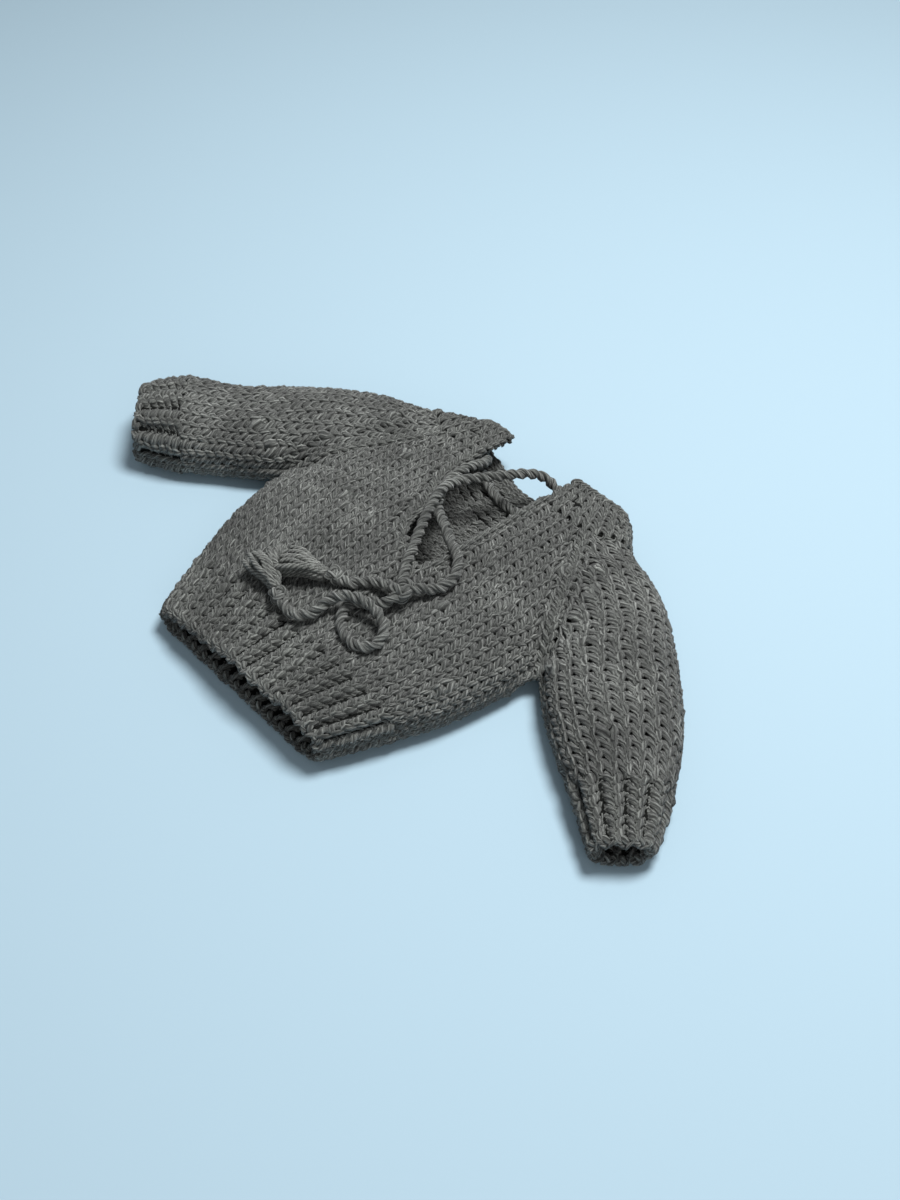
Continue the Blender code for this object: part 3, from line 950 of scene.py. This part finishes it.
def neckband_row(row):
    rise = row / BAND_ROWS
    shoulder = RAGLAN_END + ACROSS * SHOULDER_DEPTH
    flat = RAGLAN_END[0] / shoulder[0]
    crown = mix(through(CROWNS, BAND_BASE), through(CROWNS, LENGTH), ease(rise))
    halves = [mix(shoulder[0], top, rise) for top in BAND_TOP]

    def band(x, height, sag=0.0):
        half = np.where(x > 0, halves[0], halves[1])
        lift = np.maximum(0.0, np.abs(x) / half * shoulder[0] - RAGLAN_END[0]) * ACROSS[1] / ACROSS[0]
        return plan(x, mix(BAND_BASE + 0.05 + lift, LENGTH, rise) - sag, height)

    def over(x):
        half = np.where(x > 0, halves[0], halves[1])
        past = np.maximum(0.0, 2 * (np.abs(x) / half - flat) / (1 - flat) - 1)
        return band(x, SIDE + (crown - SIDE) * arch(past, 1.0))

    right_slit, left_slit = slit_edges(BAND_BASE)
    reach = np.sin(np.linspace(0, math.pi / 2, 61))
    x = mix(left_slit, halves[0], reach)
    left = over(x)
    x = mix(halves[0], -halves[1], (np.sin(np.linspace(-1, 1, 121) * math.pi / 2) + 1) / 2)
    half = np.where(x > 0, halves[0], halves[1])
    back = band(x, corner_height(half - np.abs(x), SIDE), back_sag(x, LENGTH))
    x = mix(right_slit, -halves[1], reach)[::-1]
    right = over(x)
    return np.concatenate([left, back[1:-1], right])


def slit_gap(row):
    y = body_y(row)
    low, high = slit_edges(y)
    if high - low < 0.3:
        return ()
    return ((front.column(row, low), front.column(row, high)),)


# materials


class Wire:
    """A shader socket that Python's operators work on, each adding its Math node."""

    def __init__(self, tree, socket):
        self.tree, self.socket = tree, socket

    def math(self, operation, *values):
        return node(self.tree, "ShaderNodeMath", {"operation": operation}, dict(enumerate((self, *values))))

    def __add__(self, other):
        return self.math("ADD", other)

    def __sub__(self, other):
        return self.math("SUBTRACT", other)

    def __mul__(self, other):
        return self.math("MULTIPLY", other)

    def __rsub__(self, other):
        return self.math("MULTIPLY", -1.0).math("ADD", other)

    __radd__ = __add__
    __rmul__ = __mul__


def node(tree, kind, settings=None, values=None, output=0):
    """Adds one node, sets it up, feeds its sockets and returns one of its outputs."""
    made = tree.nodes.new(kind)
    for key, value in (settings or {}).items():
        if key == "stops":
            for _ in range(len(value) - 2):
                made.color_ramp.elements.new(0.5)
            for stop, (place, colour) in zip(made.color_ramp.elements, value):
                stop.position = place
                stop.color = (*colour, 1.0)
        else:
            setattr(made, key, value)
    for key, value in (values or {}).items():
        if isinstance(value, Wire):
            tree.links.new(value.socket, made.inputs[key])
        else:
            made.inputs[key].default_value = value
    return Wire(tree, made.outputs[output])


def wool(name, dark, middle, light, bump=0.85, sheen=0.2):
    """Marled wool: strands of several greys twisted together, with painted shade in the grooves between the plies,
    read along the yarn's own UV map.
    """
    material = bpy.data.materials.new(name)
    material.use_nodes = True
    tree = material.node_tree
    shader = tree.nodes["Principled BSDF"]
    uv = node(tree, "ShaderNodeUVMap", {"uv_map": "yarn"})
    strands = node(tree, "ShaderNodeMapping", {}, {0: uv, "Scale": (1.3, 14.0, 1.0)})
    fibres = node(tree, "ShaderNodeMapping", {}, {0: uv, "Scale": (8.0, 40.0, 1.0)})
    marl_inputs = {"Vector": strands, "Scale": 1.0, "Detail": 3.0, "Roughness": 0.6}
    marl = node(tree, "ShaderNodeTexNoise", {}, marl_inputs)
    hair_inputs = {"Vector": fibres, "Scale": 1.0, "Detail": 4.0, "Roughness": 0.7}
    hair = node(tree, "ShaderNodeTexNoise", {}, hair_inputs)
    place = node(tree, "ShaderNodeTexCoord", output=3)
    cloud = node(tree, "ShaderNodeTexNoise", {}, {"Vector": place, "Scale": 45.0, "Detail": 2.0})
    tone = marl * 0.55 + hair * 0.45 + (cloud - 0.5) * 0.16
    stops = [(0.37, dark), (0.5, middle), (0.63, light)]
    ramp = node(tree, "ShaderNodeValToRGB", {"stops": stops}, {0: tone})
    axis = node(tree, "ShaderNodeSeparateXYZ", {}, {0: uv}, output=1)
    # painted shade: the colour is darkened in the grooves between the plies, and the same grooves also give the bump
    groove = (axis * (2 * math.pi * PLIES)).math("COSINE") * 0.5 + 0.5
    groove = groove * groove
    shade = node(
        tree,
        "ShaderNodeMix",
        {"data_type": "RGBA", "blend_type": "MULTIPLY"},
        {0: groove * 0.9, 6: ramp, 7: (0.16, 0.165, 0.16, 1.0)},
        output=2,
    )
    tree.links.new(shade.socket, shader.inputs["Base Color"])
    height = (1 - groove) * 0.5 + hair * 0.7
    relief = node(tree, "ShaderNodeBump", {}, {"Height": height, "Strength": bump, "Distance": 0.0011})
    tree.links.new(relief.socket, shader.inputs["Normal"])
    shader.inputs["Roughness"].default_value = 0.9
    shader.inputs["Specular IOR Level"].default_value = 0.25
    shader.inputs["Sheen Weight"].default_value = sheen
    shader.inputs["Sheen Roughness"].default_value = 0.6
    return material


KNIT_WOOL = wool("knit_wool", (0.012, 0.013, 0.012), (0.112, 0.119, 0.110), (0.46, 0.48, 0.45))
RIB_WOOL = wool("rib_wool", (0.015, 0.017, 0.015), (0.106, 0.113, 0.104), (0.40, 0.42, 0.39))
SEAM_WOOL = wool("seam_wool", (0.014, 0.016, 0.014), (0.100, 0.107, 0.098), (0.38, 0.40, 0.37))
CORD_WOOL = wool("cord_wool", (0.020, 0.022, 0.020), (0.132, 0.140, 0.129), (0.46, 0.48, 0.45))
TASSEL_WOOL = wool("tassel_wool", (0.030, 0.033, 0.029), (0.190, 0.200, 0.184), (0.56, 0.58, 0.54))



def painted_shade_material(name, colour):
    """Near-black painted shade for the sheet behind the loops, with a fine fibre noise in it."""
    material = bpy.data.materials.new(name)
    material.use_nodes = True
    tree = material.node_tree
    shader = tree.nodes["Principled BSDF"]
    place = node(tree, "ShaderNodeTexCoord", output=3)
    fibres = node(tree, "ShaderNodeTexNoise", {}, {"Vector": place, "Scale": 1500.0, "Detail": 3.0})
    stops = [(0.35, tuple(part * 0.4 for part in colour)), (0.65, colour)]
    ramp = node(tree, "ShaderNodeValToRGB", {"stops": stops}, {0: fibres})
    tree.links.new(ramp.socket, shader.inputs["Base Color"])
    relief = node(tree, "ShaderNodeBump", {}, {"Height": fibres, "Strength": 0.5, "Distance": 0.0005})
    tree.links.new(relief.socket, shader.inputs["Normal"])
    shader.inputs["Roughness"].default_value = 1.0
    shader.inputs["Specular IOR Level"].default_value = 0.1
    return material


# painted shade: the near-black colour of the sheet that shows through the gaps between the loops
PAINTED_SHADE_BACKING = painted_shade_material("painted_shade_backing", (0.012, 0.013, 0.012))

# camera, light and floor


def camera():
    azimuth, elevation, distance = math.radians(47), math.radians(47), 0.60
    target = Vector((0.0188, 0.0086, 0.0))
    level = math.cos(elevation)
    back = Vector((math.sin(azimuth) * level, -math.cos(azimuth) * level, math.sin(elevation)))
    data = bpy.data.cameras.new("camera")
    data.lens = 45.0
    data.sensor_width = 36.0
    obj = bpy.data.objects.new("camera", data)
    obj.location = target + back * distance
    obj.rotation_euler = back.to_track_quat("Z", "Y").to_euler()
    bpy.context.scene.collection.objects.link(obj)
    bpy.context.scene.camera = obj


def lamp(name, place, size, power, aim=(0.0, 0.0, 0.0)):
    data = bpy.data.lights.new(name, "AREA")
    data.shape = "DISK"
    data.size = size
    data.energy = power
    obj = bpy.data.objects.new(name, data)
    obj.location = place
    obj.rotation_euler = (Vector(place) - Vector(aim)).to_track_quat("Z", "Y").to_euler()
    bpy.context.scene.collection.objects.link(obj)


def studio():
    lamp("key_light", (0.12, 0.3, 1.0), 0.42, 13.5)
    lamp("fill_light", (0.9, -0.6, 0.7), 0.9, 2.5)
    world = bpy.data.worlds.new("room")
    world.use_nodes = True
    world.node_tree.nodes["Background"].inputs["Color"].default_value = (0.86, 0.9, 0.95, 1.0)
    world.node_tree.nodes["Background"].inputs["Strength"].default_value = 0.24
    bpy.context.scene.world = world
    bpy.context.scene.view_settings.view_transform = "Standard"
    bm = bmesh.new()
    bmesh.ops.create_grid(bm, x_segments=1, y_segments=1, size=4.0)
    mesh = bpy.data.meshes.new("floor")
    bm.to_mesh(mesh)
    bm.free()
    floor = bpy.data.objects.new("floor", mesh)
    material = bpy.data.materials.new("floor_paint")
    material.use_nodes = True
    shader = material.node_tree.nodes["Principled BSDF"]
    shader.inputs["Base Color"].default_value = (0.40, 0.545, 0.635, 1.0)
    shader.inputs["Roughness"].default_value = 0.95
    mesh.materials.append(material)
    floor.location.z = -0.0003
    bpy.context.scene.collection.objects.link(floor)
    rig.stage(floor)


camera()
studio()

TILES = {ribbed: loop_tile(ribbed) for ribbed in (False, True)}

front = Fabric(front_row, RIB_ROWS + PANEL_ROWS, body_across(BODY_STITCHES))
back = Fabric(back_row, RIB_ROWS + PANEL_ROWS, body_across(BACK_STITCHES))
sleeves = {side: Fabric(sleeve_row(side), CUFF_ROWS + SLEEVE_ROWS, sleeve_across) for side in (1, -1)}
band = Fabric(neckband_row, BAND_ROWS, lambda row, length: BAND_STITCHES)

rib_end, top = RIB_ROWS, RIB_ROWS + PANEL_ROWS
whole = CUFF_ROWS + SLEEVE_ROWS
wrist_row = CUFF_ROWS + 4  # where the arm's fabric gives over to the wrist's


def upper_places(fabric, spots):
    """The gaps to pull open in a fabric's upper side: plan places with sizes, found on its surface."""
    found = []
    flat = fabric.points.reshape(-1, 3)
    upper = fabric.normal.reshape(-1, 3)[:, 2] > 0.2
    for x, y, size in spots:
        far = np.hypot(flat[:, 0] - x, flat[:, 1] - (y - LENGTH / 2)) + np.where(upper, 0.0, 9.0)
        spot = int(np.argmin(far))
        found.append((flat[spot] - fabric.normal.reshape(-1, 3)[spot] * SUNK, size))
    return found


FRONT_GAPS = (
    (-4.0, 12.0, 0.23),
    (-3.6, 8.5, 0.25),
    (-2.95, 7.75, 0.17),
    (-5.15, 7.55, 0.14),
    (-1.7, 8.0, 0.14),
    (-4.0, 13.8, 0.2),
    (-5.3, 11.0, 0.14),
    (3.2, 10.2, 0.17),
    (3.6, 6.9, 0.17),
    (5.05, 8.9, 0.14),
    (3.9, 5.6, 0.14),
    (-4.3, 3.5, 0.14),
    (0.9, 5.9, 0.13),
    (-0.6, 11.3, 0.14),
    (5.0, 12.2, 0.17),
    (6.2, 4.9, 0.16),
)
LEFT_SLEEVE_GAPS = (
    (5.8, 13.1, 0.2),
    (6.7, 11.9, 0.19),
    (7.2, 10.5, 0.19),
    (8.1, 8.4, 0.22),
    (8.4, 9.9, 0.14),
    (11.6, 7.5, 0.19),
    (12.3, 5.5, 0.16),
    (10.2, 9.6, 0.13),
)
RIGHT_SLEEVE_GAPS = (
    (-9.6, 8.7, 0.23),
    (-8.5, 12.6, 0.14),
    (-7.4, 10.45, 0.17),
    (-6.2, 13.5, 0.16),
    (-10.6, 10.1, 0.13),
    (-8.4, 8.3, 0.17),
)


def cut(obj, fabric, first, last, others=()):
    """Declares a backing sheet of painted shade by the flat size that its stitches and rows knit to at the yarn's
    gauge.
    """
    stitch, row = GAUGE
    counts = [float(fabric.count(k + 0.5)) for k in range(first, last)]
    width, length = max(counts) * stitch / 1000, (last - first) * row / 1000
    area = sum(counts) / len(counts) / max(counts) * width * length
    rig.sheet(obj, flat=(width, length), held="laid", area=area, with_pieces=list(others))


def riding(obj, body, *nodes):
    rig.ride(obj, body)
    if nodes:
        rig.replaces(obj, *nodes)
    return obj


# the drawstring first
def lead(name, route, body, nodes):
    bm = yarn_mesh()
    path = smooth_route(route)
    twisted(bm, path)
    return riding(finished(name, bm, CORD_WOOL, "cord"), body, *nodes), path


left_cord, left_path = lead("left_cord", LEFT_CORD, "torso", ("drawstring_left_run", "drawstring_left_tail"))
right_solids = ("drawstring_right_run", "drawstring_right_tail")
right_cord, right_path = lead("right_cord", RIGHT_CORD, "torso", right_solids)
lead("band_cord", BAND_CORD, "torso", ("drawstring_band_run",))
tie = riding(knot("tied_knot", TIE_KNOT, 0.36, 0.115, (0.4, -0.9)), "torso", "tie_knot")
left_knot = riding(knot("left_end", LEFT_END_KNOT, 0.25, 0.1, (-0.9, -0.38)), "torso", "left_end_knot")
right_knot = riding(knot("right_end", RIGHT_END_KNOT, 0.25, 0.1, (-0.9, 0.3)), "torso", "right_end_knot")
left_fan = riding(tassel("left_fan", *LEFT_TASSEL, 15, 3), "left_tassel", "left_tassel")
right_fan = riding(tassel("right_fan", *RIGHT_TASSEL, 15, 4), "right_tassel", "right_tassel")
for cord, path, others in (
    (left_cord, left_path, [left_knot, left_fan, tie]),
    (right_cord, right_path, [right_knot, right_fan]),
):
    length = float(np.linalg.norm(np.diff(path, axis=0), axis=1).sum()) * CM
    points = [tuple(point) for point in path[::4] * CM]
    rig.cord(
        cord,
        exit=points[0],
        length=length,
        diameter=0.0042,
        far_end="knot",
        stiffness="limp",
        lay="loose",
        path=points,
        with_pieces=others,
    )

riding(knit("front_hem", front, 0, rib_end, True, RIB_WOOL, "rib"), "torso", "front_hem_rib")
riding(knit("back_hem", back, 0, rib_end, True, RIB_WOOL, "rib"), "torso", "back_hem_rib")
gaps = upper_places(front, FRONT_GAPS)
front_lower = knit("front_lower", front, rib_end, rib_end + 12, False, KNIT_WOOL, "knit", slit_gap, holes=gaps)
riding(front_lower, "torso", "front_panel")
front_upper = knit("front_upper", front, rib_end + 12, top, False, KNIT_WOOL, "knit", slit_gap, holes=gaps)
riding(front_upper, "torso", "front_panel")
riding(knit("back_lower", back, rib_end, rib_end + 14, False, KNIT_WOOL, "knit"), "torso", "back_panel")
riding(knit("back_upper", back, rib_end + 14, top, False, KNIT_WOOL, "knit"), "torso", "back_panel")
eyelets = [(column, EYELET_ROW) for column in EYELETS]
riding(knit("neckband_knit", band, 0, BAND_ROWS, False, RIB_WOOL, "rib", skip=eyelets), "torso", "neckband")
front_edge = riding(edge_strand("front_cast_on", front, 0), "torso")
back_edge = riding(edge_strand("back_cast_on", back, 0), "torso")
# the sheets of painted shade behind the front's and the back's loops
cut(riding(shade_backing("front_shade_backing", front, 0, top, slit_gap), "torso"), front, 0, top, [front_edge])
cut(riding(shade_backing("back_shade_backing", back, 0, top), "torso"), back, 0, top, [back_edge])

for side, word in ((1, "left"), (-1, "right")):
    flip = np.array((side, 1.0, 1.0))
    sleeve = sleeves[side]
    arm, hand = word + "_sleeve", word + "_cuff"
    bend = (np.array((6.75, 3.6, 2.0)) - (0.2, 0.046, 0.0)) * flip
    bent = bend + np.array((2.73, 0.624, 0.0)) * flip
    wrist = np.array((11.8, -2.65, 2.08)) * flip
    fall = np.array((0.68, -0.73, 0.0)) * flip
    wrist_bend = {"start": tuple((wrist - fall * 1.2) * CM), "end": tuple((wrist + fall * 1.2) * CM)}
    arm_bend = {"start": tuple(bend * CM), "end": tuple(bent * CM)}
    gaps = upper_places(sleeve, LEFT_SLEEVE_GAPS if side > 0 else RIGHT_SLEEVE_GAPS)
    upper = knit(word + "_arm", sleeve, wrist_row, whole, False, KNIT_WOOL, "knit", holes=gaps)
    # the sheet of painted shade behind the arm's loops
    upper_shade_backing = shade_backing(word + "_arm_ground", sleeve, wrist_row, whole)
    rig.replaces(upper, arm)
    lower = knit(word + "_forearm", sleeve, CUFF_ROWS, wrist_row, False, KNIT_WOOL, "knit", holes=gaps)
    cuff = knit(word + "_cuff_knit", sleeve, 0, CUFF_ROWS, True, RIB_WOOL, "rib")
    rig.replaces(cuff, word + "_cuff_rib")
    # the sheet of painted shade behind the forearm's and the cuff's loops
    lower_shade_backing = shade_backing(word + "_forearm_ground", sleeve, 0, wrist_row)
    cuff_edge = edge_strand(word + "_cuff_cast_on", sleeve, 0)
    for obj in (upper, upper_shade_backing):
        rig.blend(obj, "torso", arm, **arm_bend)
    for obj in (lower, lower_shade_backing, cuff, cuff_edge):
        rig.blend(obj, arm, hand, **wrist_bend)
    cut(upper_shade_backing, sleeve, wrist_row, whole)
    cut(lower_shade_backing, sleeve, 0, wrist_row, [cuff_edge])

    # seams, each from its lower end up
    heights = np.linspace(UNDERARM[1], BAND_BASE, 24)
    closed = closure(heights)
    edge = mix(RAGLAN_HEIGHT, SIDE + SEAM_HALF, closed)
    raglan = plan(seam_line(heights), heights, edge) * flip
    riding(seam(word + "_front_raglan", raglan, (0, 0, 1)), "torso", word + "_front_raglan_seam")
    raglan = plan(seam_line(heights), heights, (SIDE - SEAM_HALF) * closed + 0.03) * flip
    riding(seam(word + "_back_raglan", raglan, (0, 0, -1)), "torso", word + "_back_raglan_seam")
    heights = np.linspace(0.1, UNDERARM[1] - 0.1, 24)
    line = plan(body_edge(heights), heights, SIDE) * flip
    riding(seam(word + "_side", line, (side, 0, 0), sunk=0.16), "torso", word + "_side_seam")
    stretch, puff = (RIGHT_CUFF_END, 1.0) if side < 0 else (1.0, 0.0)
    parting = sleeve_t(wrist_row)[0]
    for end, start, part, bends in (
        (UNDERARM_AT + 0.02, parting, "upper", ("torso", arm, arm_bend)),
        (parting, 1.0, "lower", (arm, hand, wrist_bend)),
    ):
        sections = [sleeve_section(t * stretch, puff) for t in np.linspace(start, end, 20)]
        line = np.array([(ring[0] + ring[-1]) / 2 for ring in sections]) * flip
        away = np.array([(ring[0] - ring[len(ring) // 2]) * (1, 1, 0) for ring in sections])
        away /= np.linalg.norm(away, axis=1)[:, None]
        under = seam(word + "_underarm_" + part, line, away * flip, sunk=0.16)
        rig.replaces(under, word + "_sleeve_seam")
        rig.blend(under, bends[0], bends[1], **bends[2])

# edges of the slit and the top of the neckband
heights = np.linspace(8.0, BAND_BASE + 0.2, 30)
low, high = slit_edges(heights)
ramp = front_height(low, heights)
riding(seam("slit_right_edge", plan(low, heights, ramp), (0.6, 0, 0.8), 0.24, sunk=0.2), "torso")
ramp = front_height(high, heights)
riding(seam("slit_left_edge", plan(high, heights, ramp), (-0.6, 0, 0.8), 0.24, sunk=0.2), "torso")
brim = np.linspace(-BAND_STITCHES / 2 + 0.4, BAND_STITCHES / 2 - 0.4, 120)[::-1]
brim = band.at(np.full(120, BAND_ROWS - 0.1), brim, np.full(120, -SUNK))
riding(seam("neckband_bind_off", brim, (0.0, 1.0, 0.12), 0.2, slot="rib", sunk=0.02), "torso")
# the sheet of painted shade behind the neckband's loops
cut(riding(shade_backing("neckband_shade_backing", band, 0, BAND_ROWS), "torso"), band, 0, BAND_ROWS)

with open("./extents.json", "w") as file:
    json.dump([[list(corner) for corner in cad_box], [list(corner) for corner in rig.bounds()]], file)
